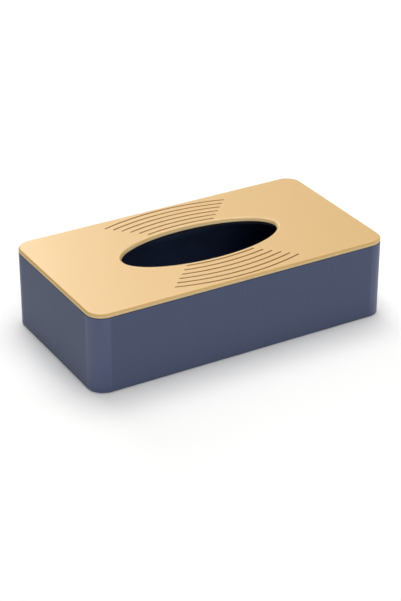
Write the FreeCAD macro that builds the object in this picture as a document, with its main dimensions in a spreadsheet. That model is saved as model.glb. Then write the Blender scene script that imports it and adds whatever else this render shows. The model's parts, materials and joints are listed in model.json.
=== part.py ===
"""Rectangular tissue box with a refill drawer in one end.

A wrapped board case stands on a thin felt pad and carries a satin metal plate
with an oval opening between two fans of engraved arcs.  The tray behind the
drawer front slides out along +X.

Frame: X along the length, Y across the width, Z up.  The origin is at the
centre of the footprint, on the surface the box stands on.  Millimetres.
"""
import FreeCAD, Part
import math
import os
import Sketcher

Vector = FreeCAD.Vector
doc = FreeCAD.newDocument("tissue_box")

# --- driving dimensions ---------------------------------------------------

DRIVING_SIZES = (
    ("box_length", 250.0, "outside length of the case and the plate"),
    ("box_width", 134.0, "outside width of the case and the plate"),
    ("corner_radius", 13.0, "outside radius of the four upright corners"),
    ("corner_straight", 0.5, "straight run of each corner piece beside its rounding"),
    ("case_height", 60.5, "height of the wrapped case, without pad and plate"),
    ("pad_thickness", 0.5, "felt pad under the base"),
    ("pad_inset", 2.5, "how far the pad stands back from the outside"),
    ("base_thickness", 4.0, "base board"),
    ("roof_thickness", 3.0, "roof board that carries the plate"),
    ("wall_thickness", 5.0, "upright boards of the case"),
    ("wrap_thickness", 0.8, "leatherette on the outside of the boards"),
    ("wrap_edge_bevel", 0.3, "turned edges of the leatherette"),
    ("glue_thickness", 0.3, "adhesive sheet, which shows as a dark reveal"),
    ("glue_inset", 1.2, "how far the adhesive stands back from the outside"),
    ("plate_thickness", 3.0, "metal top plate"),
    ("plate_shoulder", 1.1, "bevel of the plate's upper edges, downwards, and inwards from outside"),
    ("opening_shoulder", 1.8, "bevel of the opening's upper edge, across"),
    ("plate_edge_bevel", 0.3, "broken lower edges of the plate"),
    ("opening_length", 132.6, "oval opening at its narrow part, along X"),
    ("opening_width", 55.3, "oval opening at its narrow part, along Y"),
    ("opening_step", 3.0, "how far roof and adhesive stand back from the opening"),
    ("arc_opening_margin", 4.9, "opening edge to the middle of the first arc"),
    ("arc_edge_margin", 4.2, "middle of the last arc to the long edge"),
    ("arc_width", 1.1, "engraved arcs, across"),
    ("arc_depth", 0.7, "engraved arcs, deep"),
    ("arc_centre_distance", 117.6, "box centre to the common centre of a fan's arcs"),
    ("fan_half_angle", 43.7, "degrees from the Y axis to the line where a fan ends"),
    ("mouth_gap", 0.4, "gap round the drawer front"),
    ("side_gap", 0.5, "gap between tray and guide rails"),
    ("front_thickness", 5.0, "drawer front board"),
    ("tray_wall", 3.0, "sides and back of the tray"),
    ("tray_floor", 3.0, "floor of the tray"),
    ("liner_thickness", 0.6, "suede liner of the tray"),
    ("notch_radius", 12.0, "half-round finger notch in the drawer front"),
    ("rail_height", 22.0, "guide rails beside the tray"),
    ("glide_thickness", 0.6, "felt strips that the tray slides on"),
    ("glide_width", 12.0, "felt strips, across"),
    ("glide_inset", 8.0, "felt strip to the side of the tray"),
    ("glide_gap", 0.3, "running gap above the felt strips"),
    ("bumper_thickness", 1.0, "felt dots behind the tray"),
    ("bumper_radius", 4.0, "felt dots behind the tray"),
    ("bumper_spacing", 84.0, "between the two felt dots"),
    ("bumper_gap", 0.3, "felt dots to the closed tray"),
    ("catch_gap", 0.9, "top of the tray back to the roof"),
    ("stop_height", 4.0, "blocks under the roof that catch the tray back"),
    ("stop_length", 6.0, "stop blocks, along X"),
    ("stop_width", 10.0, "stop blocks, along Y"),
    ("stop_setback", 39.6, "face of the stop blocks to the drawer end of the box"),
    ("stop_clearance", 1.0, "tray sides to the underside of the stop blocks"),
    ("magnet_radius", 5.0, "closing magnets"),
    ("magnet_thickness", 2.0, "closing magnets"),
    ("magnet_spacing", 44.0, "between the two magnets of a pair"),
    ("magnet_height", 26.0, "magnets above the base board"),
    ("screw_offset", 4.5, "base screws from the corner's own centre, in X and Y"),
    ("screw_length", 16.0, "base screws, over all"),
    ("screw_radius", 1.5, "base screw shank"),
    ("screw_head_radius", 3.0, "countersunk head"),
    ("screw_head_depth", 1.8, "countersunk head"),
)
ARCS_IN_A_FAN = 6

sheet = doc.addObject("Spreadsheet::Sheet", "Sizes")


class Size:
    """A size that holds its number and the sheet formula that gives it."""

    def __init__(self, number, formula=None):
        self.number = float(number)
        self.formula = formula if formula else repr(self.number)

    def joined(self, sign, other, number):
        return Size(number, f"({self.formula} {sign} {other.formula})")

    def __add__(self, other):
        other = as_size(other)
        return self.joined("+", other, self.number + other.number)

    def __sub__(self, other):
        other = as_size(other)
        return self.joined("-", other, self.number - other.number)

    def __rsub__(self, other):
        return as_size(other) - self

    def __mul__(self, other):
        other = as_size(other)
        return self.joined("*", other, self.number * other.number)

    def __truediv__(self, other):
        other = as_size(other)
        return self.joined("/", other, self.number / other.number)

    def __neg__(self):
        return Size(-self.number, f"(0 - {self.formula})")

    __radd__ = __add__
    __rmul__ = __mul__


def as_size(value):
    return value if isinstance(value, Size) else Size(value)


def fill_sheet():
    """Writes the driving sizes to the sheet and returns them by name."""
    named = {}
    for row, (alias, number, meaning) in enumerate(DRIVING_SIZES, start=1):
        sheet.set(f"A{row}", meaning)
        sheet.set(f"B{row}", str(number))
        sheet.setAlias(f"B{row}", alias)
        named[alias] = Size(number, f"Sizes.{alias}")
    doc.recompute()
    return named


S = fill_sheet()

# --- levels and lines shared by the pieces ----------------------------------

half_length = S["box_length"] / 2
half_width = S["box_width"] / 2
corner_radius = S["corner_radius"]
wrap = S["wrap_thickness"]
wall = S["wall_thickness"]

core_half_length = half_length - wrap
core_half_width = half_width - wrap
core_radius = corner_radius - wrap
corner_reach = corner_radius + S["corner_straight"]
flat_half_length = half_length - corner_reach
flat_half_width = half_width - corner_reach

case_bottom = S["pad_thickness"]
base_top = case_bottom + S["base_thickness"]
case_top = case_bottom + S["case_height"]
roof_bottom = case_top - S["roof_thickness"]
plate_bottom = case_top + S["glue_thickness"]
plate_top = plate_bottom + S["plate_thickness"]

front_bottom = base_top + S["mouth_gap"]
front_top = roof_bottom - S["mouth_gap"]
front_half_width = flat_half_width - S["mouth_gap"]
front_inner = core_half_length - S["front_thickness"]

tray_bottom = base_top + S["glide_thickness"] + S["glide_gap"]
tray_floor_top = tray_bottom + S["tray_floor"]
tray_side_top = roof_bottom - S["stop_height"] - S["stop_clearance"]
tray_back_top = roof_bottom - S["catch_gap"]
tray_half_width = flat_half_width - S["side_gap"]
end_wall_inner = wall - core_half_length
tray_rear = end_wall_inner + S["bumper_thickness"] + S["bumper_gap"]
tray_inner_rear = tray_rear + S["tray_wall"]
tray_inner_half_width = tray_half_width - S["tray_wall"]

TURN_ABOUT_Z = Vector(0, 0, 1)
ALONG_X = FreeCAD.Rotation(Vector(0, 1, 0), 90)

pieces = []


def piece(obj):
    """Marks an object as one physical piece of the box."""
    obj.Label = obj.Name
    pieces.append(obj)
    return obj


# --- building blocks --------------------------------------------------------


def bind(obj, **sizes):
    for name, size in sizes.items():
        obj.setExpression(name, as_size(size).formula)


def place(obj, x=0.0, y=0.0, z=0.0):
    for axis, size in (("x", x), ("y", y), ("z", z)):
        obj.setExpression(f"Placement.Base.{axis}", as_size(size).formula)


def block(name, low, high):
    """A plain board between two opposite corners."""
    board = doc.addObject("Part::Box", name)
    edges = [top - bottom for bottom, top in zip(low, high)]
    bind(board, Length=edges[0], Width=edges[1], Height=edges[2])
    place(board, *low)
    return board


def upright_cylinder(name, radius, height, x, y, z):
    rod = doc.addObject("Part::Cylinder", name)
    bind(rod, Radius=radius, Height=height)
    place(rod, x, y, z)
    return rod


def cone(name, low_radius, high_radius, height, x, y, z):
    taper = doc.addObject("Part::Cone", name)
    bind(taper, Radius1=low_radius, Radius2=high_radius, Height=height)
    place(taper, x, y, z)
    return taper


def level_cylinder(name, radius, length, x, y, z):
    """A cylinder that lies along +X from x."""
    rod = doc.addObject("Part::Cylinder", name)
    bind(rod, Radius=radius, Height=length)
    rod.Placement.Rotation = ALONG_X
    place(rod, x, y, z)
    return rod


def cut(name, base, tool):
    result = doc.addObject("Part::Cut", name)
    result.Base = base
    result.Tool = tool
    return result


def group(name, members):
    """Several identical solids that count as one piece."""
    result = doc.addObject("Part::Compound", name)
    result.Links = members
    return result


def new_body(name):
    return doc.addObject("PartDesign::Body", name)


def new_sketch(body, name, plane, height=0.0):
    """A sketch on one of the body's own origin planes, raised by height."""
    sketch = body.newObject("Sketcher::SketchObject", name)
    planes = [feature for feature in body.Origin.OriginFeatures if feature.Role == plane]
    sketch.AttachmentSupport = [(planes[0], "")]
    sketch.MapMode = "FlatFace"
    if isinstance(height, Size):
        sketch.setExpression("AttachmentOffset.Base.z", height.formula)
    return sketch


def dimension(sketch, name, size, kind, *where):
    """Adds one driving dimension and ties it to the sheet."""
    index = sketch.addConstraint(Sketcher.Constraint(kind, *where, abs(size.number)))
    sketch.renameConstraint(index, name)
    sketch.setExpression(f"Constraints.{name}", size.formula)


def relate(sketch, kind, *where):
    sketch.addConstraint(Sketcher.Constraint(kind, *where))


def point(x, y):
    return Vector(x, y, 0)


def line(sketch, start, end, construction=False):
    return sketch.addGeometry(Part.LineSegment(point(*start), point(*end)), construction)


def arc(sketch, centre, radius, first_degrees, last_degrees):
    circle = Part.Circle(point(*centre), TURN_ABOUT_Z, radius)
    first, last = math.radians(first_degrees), math.radians(last_degrees)
    return sketch.addGeometry(Part.ArcOfCircle(circle, first, last), False)


# Sketcher's numbers for the points of a curve, and for the sketch's own origin and axes.
START, END, CENTRE = range(1, 4)
ORIGIN = (-1, 1)
X_AXIS, Y_AXIS = range(-1, -3, -1)


def rounded_outline(sketch, half_x, half_y, radius):
    """A rectangle with round corners, centred on the sketch's origin."""
    x, y, r = half_x.number, half_y.number, radius.number
    low = line(sketch, (r - x, -y), (x - r, -y))
    right = line(sketch, (x, r - y), (x, y - r))
    high = line(sketch, (x - r, y), (r - x, y))
    left = line(sketch, (-x, y - r), (-x, r - y))
    sides = (low, right, high, left)
    centres = ((x - r, r - y), (x - r, y - r), (r - x, y - r), (r - x, r - y))
    corners = []
    for turn, centre in enumerate(centres):
        quarter = 90 * turn
        corners.append(arc(sketch, centre, r, quarter - 90, quarter))
    for turn, corner in enumerate(corners):
        relate(sketch, "Tangent", sides[turn], END, corner, START)
        relate(sketch, "Tangent", corner, END, sides[(turn + 1) % 4], START)
    for corner in corners[1:]:
        relate(sketch, "Equal", corners[0], corner)
    relate(sketch, "Horizontal", low)
    relate(sketch, "Vertical", right)
    relate(sketch, "Symmetric", corners[0], CENTRE, corners[2], CENTRE, *ORIGIN)
    dimension(sketch, "corner", radius, "Radius", corners[0])
    dimension(sketch, "across_x", 2 * half_x, "DistanceX", left, END, right, START)
    dimension(sketch, "across_y", 2 * half_y, "DistanceY", low, START, high, END)


def oval(sketch, half_x, half_y):
    """An ellipse centred on the sketch's origin, long along X."""
    major, minor = point(half_x.number, 0), point(0, half_y.number)
    ellipse = sketch.addGeometry(Part.Ellipse(major, minor, point(0, 0)), False)
    sketch.exposeInternalGeometry(ellipse)
    long_axis, short_axis = ellipse + 1, ellipse + 2
    relate(sketch, "Coincident", ellipse, CENTRE, *ORIGIN)
    relate(sketch, "Horizontal", long_axis)
    dimension(sketch, "oval_length", 2 * half_x, "Distance", long_axis)
    dimension(sketch, "oval_width", 2 * half_y, "Distance", short_axis)


def rounded_board(name, inset, bottom, thickness, opening_step=None):
    """A level board that follows the box's outline, with or without the oval."""
    body = new_body(name)
    sketch = new_sketch(body, f"{name}_outline", "XY_Plane", bottom)
    rounded_outline(sketch, half_length - inset, half_width - inset, corner_radius - inset)
    if opening_step is not None:
        half_oval_x = S["opening_length"] / 2 + opening_step
        half_oval_y = S["opening_width"] / 2 + opening_step
        oval(sketch, half_oval_x, half_oval_y)
    pad = body.newObject("PartDesign::Pad", f"{name}_pad")
    pad.Profile = sketch
    bind(pad, Length=thickness)
    return body


def wrap_profile(sketch, inner, low, high):
    """Section of the leatherette: its outer edges are turned in, so they are bevelled."""
    a, b = inner.number, (inner + wrap).number
    c, d = low.number, high.number
    bevel = S["wrap_edge_bevel"]
    r = bevel.number
    corners = ((a, d), (a, c), (b - r, c), (b, c + r), (b, d - r), (b - r, d))
    lines = []
    for start, end in zip(corners, corners[1:] + corners[:1]):
        lines.append(line(sketch, start, end))
    for first, second in zip(lines, lines[1:] + lines[:1]):
        relate(sketch, "Coincident", first, END, second, START)
    back, foot, low_turn, face, high_turn, head = lines
    for level in (foot, head):
        relate(sketch, "Horizontal", level)
    for upright in (back, face):
        relate(sketch, "Vertical", upright)
    dimension(sketch, "inner", inner, "DistanceX", *ORIGIN, back, END)
    dimension(sketch, "thickness", wrap, "DistanceX", back, END, face, START)
    dimension(sketch, "low", low, "DistanceY", *ORIGIN, back, END)
    dimension(sketch, "height", high - low, "DistanceY", back, END, back, START)
    for name, turn, across, up in (
        ("low_bevel", low_turn, (START, END), (START, END)),
        ("high_bevel", high_turn, (END, START), (START, END)),
    ):
        dimension(sketch, f"{name}_x", bevel, "DistanceX", turn, across[0], turn, across[1])
        dimension(sketch, f"{name}_y", bevel, "DistanceY", turn, up[0], turn, up[1])


def wrap_panel(name, inner, half_run, low, high, turn):
    """A flat run of leatherette: the section drawn along a wall, turned about Z."""
    body = new_body(name)
    sketch = new_sketch(body, f"{name}_section", "XZ_Plane")
    wrap_profile(sketch, inner, low, high)
    pad = body.newObject("PartDesign::Pad", f"{name}_run")
    pad.Profile = sketch
    pad.Midplane = True
    bind(pad, Length=2 * half_run)
    body.Placement.Rotation = FreeCAD.Rotation(TURN_ABOUT_Z, turn)
    return body


def wrap_corner(name, side_x, side_y, turn):
    """The leatherette round one upright corner: a quarter turn between two flat runs."""
    body = new_body(name)
    sketch = new_sketch(body, f"{name}_section", "XZ_Plane")
    wrap_profile(sketch, core_radius, case_bottom, case_top)
    turned = body.newObject("PartDesign::Revolution", f"{name}_turn")
    turned.Profile = sketch
    turned.ReferenceAxis = (sketch, ["V_Axis"])
    turned.Angle = 90
    for end, plane, backwards in (("first", "XZ_Plane", False), ("last", "YZ_Plane", True)):
        sketch = new_sketch(body, f"{name}_{end}_section", plane)
        wrap_profile(sketch, core_radius, case_bottom, case_top)
        run = body.newObject("PartDesign::Pad", f"{name}_{end}_run")
        run.Profile = sketch
        run.Reversed = backwards
        bind(run, Length=S["corner_straight"])
    body.Placement.Rotation = FreeCAD.Rotation(TURN_ABOUT_Z, turn)
    place(body, side_x * (half_length - corner_radius), side_y * (half_width - corner_radius))
    return body


# --- the four corners, named as seen from the front (-Y) --------------------

CORNERS = (
    ("front_left", -1, -1, 180),
    ("front_right", 1, -1, 270),
    ("back_right", 1, 1, 0),
    ("back_left", -1, 1, 90),
)


def base_screw(corner, side_x, side_y):
    """A blunt countersunk screw driven up through the base into a corner post."""
    x = side_x * (flat_half_length + S["screw_offset"])
    y = side_y * (flat_half_width + S["screw_offset"])
    radius, depth = S["screw_radius"], S["screw_head_depth"]
    head = cone(f"head_{corner}", S["screw_head_radius"], radius, depth, x, y, case_bottom)
    shank_length = S["screw_length"] - depth
    shank = upright_cylinder(f"shank_{corner}", radius, shank_length, x, y, case_bottom + depth)
    screw = doc.addObject("Part::Fuse", f"screw_{corner}")
    screw.Base = head
    screw.Tool = shank
    return screw


def corner_post(corner, side_x, side_y, turn, screw):
    """A square post between base and roof, rounded outside and drilled for its screw."""
    body = new_body(f"post_stock_{corner}")
    square = body.newObject("PartDesign::AdditiveBox", f"post_square_{corner}")
    side = corner_reach - wrap
    bind(square, Length=side, Width=side, Height=roof_bottom - base_top)
    doc.recompute()
    boxes = [edge.BoundBox for edge in square.Shape.Edges]
    outer = [box.XMin > wrap.number and box.YMin > wrap.number for box in boxes].index(True)
    rounded = body.newObject("PartDesign::Fillet", f"post_round_{corner}")
    rounded.Base = (square, [f"Edge{outer + 1}"])
    bind(rounded, Radius=core_radius)
    body.Placement.Rotation = FreeCAD.Rotation(TURN_ABOUT_Z, turn)
    place(body, side_x * flat_half_length, side_y * flat_half_width, base_top)
    return piece(cut(f"corner_post_{corner}", body, screw))


def build_corners():
    screws = []
    for corner, side_x, side_y, turn in CORNERS:
        screw = base_screw(corner, side_x, side_y)
        screws.append(screw)
        corner_post(corner, side_x, side_y, turn, screw)
        piece(wrap_corner(f"corner_wrap_{corner}", side_x, side_y, turn))
    return piece(group("base_screws", screws))


# --- case --------------------------------------------------------------------


def build_case(screws):
    base_stock = rounded_board("base_stock", wrap, case_bottom, S["base_thickness"])
    piece(cut("base_board", base_stock, screws))
    piece(rounded_board("base_pad", S["pad_inset"], Size(0), S["pad_thickness"]))
    piece(rounded_board("roof_board", wrap, roof_bottom, S["roof_thickness"], S["opening_step"]))

    wall_inner = core_half_width - wall
    for side, near, far in (
        ("front", -core_half_width, -wall_inner),
        ("back", wall_inner, core_half_width),
    ):
        low = (-flat_half_length, near, base_top)
        high = (flat_half_length, far, roof_bottom)
        piece(block(f"{side}_wall", low, high))

    end_low = (-core_half_length, -flat_half_width, base_top)
    end_high = (end_wall_inner, flat_half_width, roof_bottom)
    end_stock = block("end_wall_stock", end_low, end_high)
    pockets = magnet_pair("case_magnets", end_wall_inner - S["magnet_thickness"])
    piece(cut("end_wall", end_stock, pockets))

    for side, turn in (("front", 270), ("back", 90)):
        panel = f"{side}_woven_panel"
        piece(wrap_panel(panel, core_half_width, flat_half_length, case_bottom, case_top, turn))
    piece(wrap_panel("end_woven_panel", core_half_length, flat_half_width, case_bottom, case_top, 180))
    lip = core_half_length, flat_half_width
    piece(wrap_panel("mouth_lip_lower", *lip, case_bottom, base_top, 0))
    piece(wrap_panel("mouth_lip_upper", *lip, roof_bottom, case_top, 0))


def magnet_pair(name, x):
    """Two discs flush in a board, one each side of the middle."""
    z = base_top + S["magnet_height"]
    discs = []
    for side, sign in (("front", -1), ("back", 1)):
        y = sign * S["magnet_spacing"] / 2
        disc = level_cylinder(f"{name}_{side}", S["magnet_radius"], S["magnet_thickness"], x, y, z)
        discs.append(disc)
    return piece(group(name, discs))


def build_guides():
    """What the tray runs on, beside and against."""
    wall_inner = core_half_width - wall
    glide_outer = tray_half_width - S["glide_inset"]
    glide_inner = glide_outer - S["glide_width"]
    glide_top = base_top + S["glide_thickness"]
    rail_top = base_top + S["rail_height"]
    stop_rear = half_length - S["stop_setback"]
    stop_front = stop_rear + S["stop_length"]
    stop_outer = tray_half_width
    stop_inner = stop_outer - S["stop_width"]
    stop_bottom = roof_bottom - S["stop_height"]
    x_low, x_high = -flat_half_length, flat_half_length
    strips = (
        ("guide_rail", x_low, x_high, flat_half_width, wall_inner, base_top, rail_top),
        ("glide_strip", x_low, x_high, glide_inner, glide_outer, base_top, glide_top),
        ("stop_block", stop_rear, stop_front, stop_inner, stop_outer, stop_bottom, roof_bottom),
    )
    for name, x0, x1, inner, outer, z0, z1 in strips:
        piece(block(f"front_{name}", (x0, -outer, z0), (x1, -inner, z1)))
        piece(block(f"back_{name}", (x0, inner, z0), (x1, outer, z1)))

    z = base_top + S["magnet_height"]
    dots = []
    for side, sign in (("front", -1), ("back", 1)):
        y = sign * S["bumper_spacing"] / 2
        size = S["bumper_radius"], S["bumper_thickness"]
        dots.append(level_cylinder(f"bumper_{side}", *size, end_wall_inner, y, z))
    piece(group("felt_bumpers", dots))


# --- top plate ---------------------------------------------------------------


def fan_of_arcs(sketch):
    """Six slots on arcs about one centre, all ending on two lines through the origin."""
    centre_distance = S["arc_centre_distance"]
    first = S["opening_width"] / 2 + S["arc_opening_margin"]
    last = half_width - S["arc_edge_margin"]
    pitch = (last - first) / (ARCS_IN_A_FAN - 1)
    half_slot = S["arc_width"] / 2
    slope = math.tan(math.radians(S["fan_half_angle"].number))

    hub = sketch.addGeometry(Part.Point(point(0, -centre_distance.number)), True)
    relate(sketch, "PointOnObject", hub, START, Y_AXIS)
    dimension(sketch, "hub", centre_distance, "DistanceY", hub, START, *ORIGIN)
    reach = last.number
    fan_lines = []
    for sign in (1, -1):
        fan_line = line(sketch, (0, 0), (sign * slope * reach, reach), True)
        relate(sketch, "Coincident", fan_line, START, *ORIGIN)
        fan_lines.append(fan_line)
    relate(sketch, "Symmetric", fan_lines[0], END, fan_lines[1], END, Y_AXIS)
    dimension(sketch, "fan_reach", last, "DistanceY", *ORIGIN, fan_lines[0], END)
    dimension(sketch, "fan_angle", 90 - S["fan_half_angle"], "Angle", X_AXIS, START, fan_lines[0], START)

    for n in range(ARCS_IN_A_FAN):
        middle = centre_distance + first + n * pitch
        hub_y, run, half = -centre_distance.number, middle.number, half_slot.number
        # Where the arc's middle line meets the fan line x = slope * y.
        spread = 1 + slope * slope
        root = math.sqrt(spread * run * run - (slope * hub_y) ** 2)
        end_y = (hub_y + root) / spread
        end_x = slope * end_y
        swing = math.degrees(math.atan2(end_x, end_y - hub_y))
        hub_point = (0, hub_y)
        inner = arc(sketch, hub_point, run - half, 90 - swing, 90 + swing)
        outer = arc(sketch, hub_point, run + half, 90 - swing, 90 + swing)
        right_end = arc(sketch, (end_x, end_y), half, -90 - swing, 90 - swing)
        left_end = arc(sketch, (-end_x, end_y), half, 90 + swing, 270 + swing)
        for curve in (inner, outer):
            relate(sketch, "Coincident", curve, CENTRE, hub, START)
        relate(sketch, "Tangent", right_end, START, inner, START)
        relate(sketch, "Tangent", right_end, END, outer, START)
        relate(sketch, "Tangent", left_end, START, outer, END)
        relate(sketch, "Tangent", left_end, END, inner, END)
        relate(sketch, "PointOnObject", right_end, CENTRE, fan_lines[0])
        relate(sketch, "PointOnObject", left_end, CENTRE, fan_lines[1])
        dimension(sketch, f"inner_{n}", middle - half_slot, "Radius", inner)
        dimension(sketch, f"outer_{n}", middle + half_slot, "Radius", outer)


def plate_edges(shape, level, oval):
    """Names of the plate's upper or lower edges, either the opening's or the outline's."""
    middle = (plate_bottom + S["plate_thickness"] / 2).number
    names = []
    for index, edge in enumerate(shape.Edges, start=1):
        box = edge.BoundBox
        at_level = box.ZMin > middle if level == "upper" else box.ZMax < middle
        if at_level and (edge.Curve.TypeId == "Part::GeomEllipse") == oval:
            names.append(f"Edge{index}")
    return names


def bevel_plate(body, name, size, level, *ovals):
    """Bevels the plate's edges at one level: the opening's, the outline's or both."""
    stock = body.Tip
    doc.recompute()
    names = []
    for oval in ovals:
        names += plate_edges(stock.Shape, level, oval)
    bevel = body.newObject("PartDesign::Chamfer", name)
    bevel.Base = (stock, names)
    bind(bevel, Size=size)
    return bevel


def build_top_plate():
    plate = rounded_board("top_plate", Size(0), plate_bottom, S["plate_thickness"], Size(0))
    bevel_plate(plate, "shoulder", S["plate_shoulder"], "upper", False)
    mouth = bevel_plate(plate, "opening_shoulder", S["opening_shoulder"], "upper", True)
    mouth.ChamferType = "Two distances"
    bind(mouth, Size2=S["plate_shoulder"])
    broken = bevel_plate(plate, "broken_edges", S["plate_edge_bevel"], "lower", False, True)

    sketch = new_sketch(plate, "fan_of_arcs", "XY_Plane", plate_top)
    fan_of_arcs(sketch)
    engraving = plate.newObject("PartDesign::Pocket", "engraved_fan")
    engraving.Profile = sketch
    bind(engraving, Length=S["arc_depth"])
    doc.recompute()
    mirrored = plate.newObject("PartDesign::Mirrored", "second_fan")
    mirrored.Originals = [engraving]
    mid_planes = [feature for feature in plate.Origin.OriginFeatures if feature.Role == "XZ_Plane"]
    mirrored.MirrorPlane = (mid_planes[0], [""])
    plate.Tip = mirrored
    doc.recompute()
    if not mirrored.Shape.Volume < engraving.Shape.Volume < broken.Shape.Volume:
        raise RuntimeError("the engraved arcs did not cut the plate")
    piece(plate)
    # The adhesive stands back from the outside and from the opening.
    glue_size = S["glue_thickness"], S["opening_step"]
    piece(rounded_board("plate_glue", S["glue_inset"], case_top, *glue_size))


# --- drawer ------------------------------------------------------------------


def build_drawer():
    notch_start = front_inner - S["tray_wall"]
    notch_length = half_length + S["tray_wall"] - notch_start
    notch = level_cylinder("notch_tool", S["notch_radius"], notch_length, notch_start, 0, front_top)

    front_low = (front_inner, -front_half_width, front_bottom)
    front_high = (core_half_length, front_half_width, front_top)
    front_stock = block("drawer_front_stock", front_low, front_high)
    piece(cut("drawer_front", front_stock, notch))
    facing_run = core_half_length, front_half_width
    facing = wrap_panel("front_facing_stock", *facing_run, front_bottom, front_top, 0)
    piece(cut("drawer_woven_facing", facing, notch))

    floor_low = (tray_rear, -tray_half_width, tray_bottom)
    piece(block("tray_floor_board", floor_low, (front_inner, tray_half_width, tray_floor_top)))
    for side, near, far in (
        ("front", -tray_half_width, -tray_inner_half_width),
        ("back", tray_inner_half_width, tray_half_width),
    ):
        low = (tray_inner_rear, near, tray_floor_top)
        piece(block(f"tray_{side}_side", low, (front_inner, far, tray_side_top)))

    back_low = (tray_rear, -tray_half_width, tray_floor_top)
    back_stock = block("tray_end_stock", back_low, (tray_inner_rear, tray_half_width, tray_back_top))
    piece(cut("tray_end_board", back_stock, magnet_pair("tray_magnets", tray_rear)))

    liner = S["liner_thickness"]
    outer_low = (tray_inner_rear, -tray_inner_half_width, tray_floor_top)
    outer_high = (front_inner, tray_inner_half_width, tray_side_top)
    inner_low = (outer_low[0] + liner, outer_low[1] + liner, outer_low[2] + liner)
    inner_high = (outer_high[0] - liner, outer_high[1] - liner, outer_high[2] + liner)
    sheet_stock = block("liner_outside", outer_low, outer_high)
    hollow = block("liner_inside", inner_low, inner_high)
    folded = cut("liner_folded", sheet_stock, hollow)
    piece(cut("tray_liner", folded, notch))


# --- build, check and write --------------------------------------------------


def check_document():
    doc.recompute()
    for obj in doc.Objects:
        if "Invalid" in obj.State or "Error" in obj.State:
            raise RuntimeError(f"{obj.Name} failed: {obj.State}")
    for obj in pieces:
        shape = obj.Shape
        if shape.isNull() or not shape.isValid() or not shape.Solids:
            raise RuntimeError(f"{obj.Label} has no sound solid")


def write_pieces():
    os.makedirs("parts", exist_ok=True)
    for obj in pieces:
        obj.Shape.exportStep(f"parts/{obj.Label}.step")
    print(len(pieces), "pieces written")


base_screws = build_corners()
build_case(base_screws)
build_guides()
build_top_plate()
build_drawer()
check_document()
write_pieces()
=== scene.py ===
"""Looks of the tissue box: its finishes, its leatherette, felt and suede, and a plain studio.

Metres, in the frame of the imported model: X along the box, Y across it, Z up, with the
surface that the box stands on at Z = 0.
"""
import json
import math

import bmesh
import bpy
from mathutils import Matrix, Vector


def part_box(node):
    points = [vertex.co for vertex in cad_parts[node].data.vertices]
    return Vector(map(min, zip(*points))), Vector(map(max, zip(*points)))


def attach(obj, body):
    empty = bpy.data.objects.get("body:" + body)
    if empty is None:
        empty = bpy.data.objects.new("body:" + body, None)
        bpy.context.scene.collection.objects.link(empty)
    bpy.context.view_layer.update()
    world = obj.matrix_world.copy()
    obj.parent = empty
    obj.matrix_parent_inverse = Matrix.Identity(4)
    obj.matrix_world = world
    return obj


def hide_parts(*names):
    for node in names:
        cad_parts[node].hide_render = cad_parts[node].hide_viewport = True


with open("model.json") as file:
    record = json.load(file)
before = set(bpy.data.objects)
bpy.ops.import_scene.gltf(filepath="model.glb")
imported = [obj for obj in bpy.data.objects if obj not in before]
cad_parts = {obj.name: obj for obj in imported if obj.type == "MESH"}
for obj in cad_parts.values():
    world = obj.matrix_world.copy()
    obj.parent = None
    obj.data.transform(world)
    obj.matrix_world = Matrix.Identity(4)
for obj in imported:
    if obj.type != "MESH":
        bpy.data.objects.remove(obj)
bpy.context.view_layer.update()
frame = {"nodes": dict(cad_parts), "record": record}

MM = 0.001

# --- the finishes' own values ---------------------------------------------------------

# Linear colours. Beside the face tone, the gold's tones paint light and shade: darker
# shoulders and lip, cut edges and the oval's wall lighter as if reflecting the floor, a
# highlight at the brim, worn edges brightened into a highlight, and shade in and beside the
# grooves. The navy threads' two tones are lit and shaded copies, a painted sheen, and the
# cloth's gap and crease tones are painted shade.
GOLD_FACE = (0.710, 0.450, 0.155, 1.0)
GOLD_SHOULDER_SHADE = (0.585, 0.368, 0.122, 1.0)
GOLD_CUT_AND_REFLECTION = (0.57, 0.42, 0.21, 1.0)
GOLD_LIP_SHADE = (0.48, 0.28, 0.066, 1.0)
GOLD_MOUTH_LIGHT = (1.0, 0.80, 0.46, 1.0)
GOLD_BRIM_HIGHLIGHT = (0.97, 0.76, 0.46, 1.0)
GOLD_WEAR_AND_HIGHLIGHT = (0.86, 0.68, 0.42, 1.0)
GOLD_GROOVE_EDGE_SHADE = (0.46, 0.24, 0.065, 1.0)
GOLD_RECESS_SHADE = (0.46, 0.22, 0.055, 1.0)
NAVY_UPRIGHT_LIT = (0.109, 0.127, 0.206, 1.0)
NAVY_LEVEL_SHADED = (0.056, 0.074, 0.136, 1.0)
NAVY_GAP_SHADE = (0.032, 0.043, 0.078, 1.0)
NAVY_SMOOTH = (0.0395, 0.056, 0.134, 1.0)
NAVY_CREASE_SHADE = (0.034, 0.045, 0.096, 1.0)
SUEDE_NAP = (0.064, 0.102, 0.222, 1.0)
SUEDE_SHADE = (0.036, 0.057, 0.127, 1.0)
FELT_FIBRE = (0.022, 0.023, 0.027, 1.0)
FELT_SHADE = (0.008, 0.008, 0.010, 1.0)
BLACK_PAINT = (0.005, 0.006, 0.009, 1.0)
BLACK_SCUFF = (0.012, 0.013, 0.017, 1.0)
BOARD_LIGHT = (0.30, 0.20, 0.12, 1.0)
BOARD_DARK = (0.19, 0.12, 0.068, 1.0)
ADHESIVE_DARK = (0.018, 0.016, 0.019, 1.0)
ADHESIVE_LIGHT = (0.030, 0.027, 0.030, 1.0)
NICKEL = (0.62, 0.60, 0.57, 1.0)
NICKEL_DULL = (0.48, 0.46, 0.44, 1.0)
STEEL = (0.50, 0.50, 0.51, 1.0)
STEEL_DULL = (0.34, 0.34, 0.35, 1.0)

FLOOR_TONE = (0.960, 0.957, 0.946, 1.0)

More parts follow.
